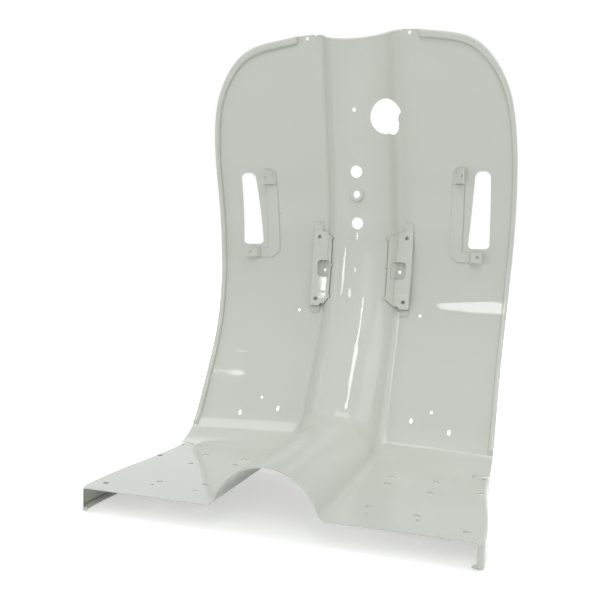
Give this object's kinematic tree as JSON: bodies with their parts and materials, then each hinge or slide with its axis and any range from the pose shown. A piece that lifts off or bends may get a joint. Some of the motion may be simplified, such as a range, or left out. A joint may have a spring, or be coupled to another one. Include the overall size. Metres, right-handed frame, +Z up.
{
  "type": "scooter leg shield",
  "caption": "Pressed steel scooter leg shield with footboard front, centre tunnel, rolled edges, indicator slots and welded brackets, painted gloss white.",
  "frame": {"origin": "middle of the four inner floor bolt holes, on the upper face of the floor", "axes": "+Y forward toward the front wheel, +Z up, +X to the rider's right; the rider is on the -Y side"},
  "size_m": [0.5076, 0.4324, 0.6723],
  "materials": {
    "white_paint": "gloss"
  },
  "bodies": {
    "root": {"leg_shield_panel": "white_paint", "glovebox_bracket_left": "white_paint", "glovebox_bracket_right": "white_paint", "indicator_bracket_left": "white_paint", "indicator_bracket_right": "white_paint"}
  },
  "joints": []
}
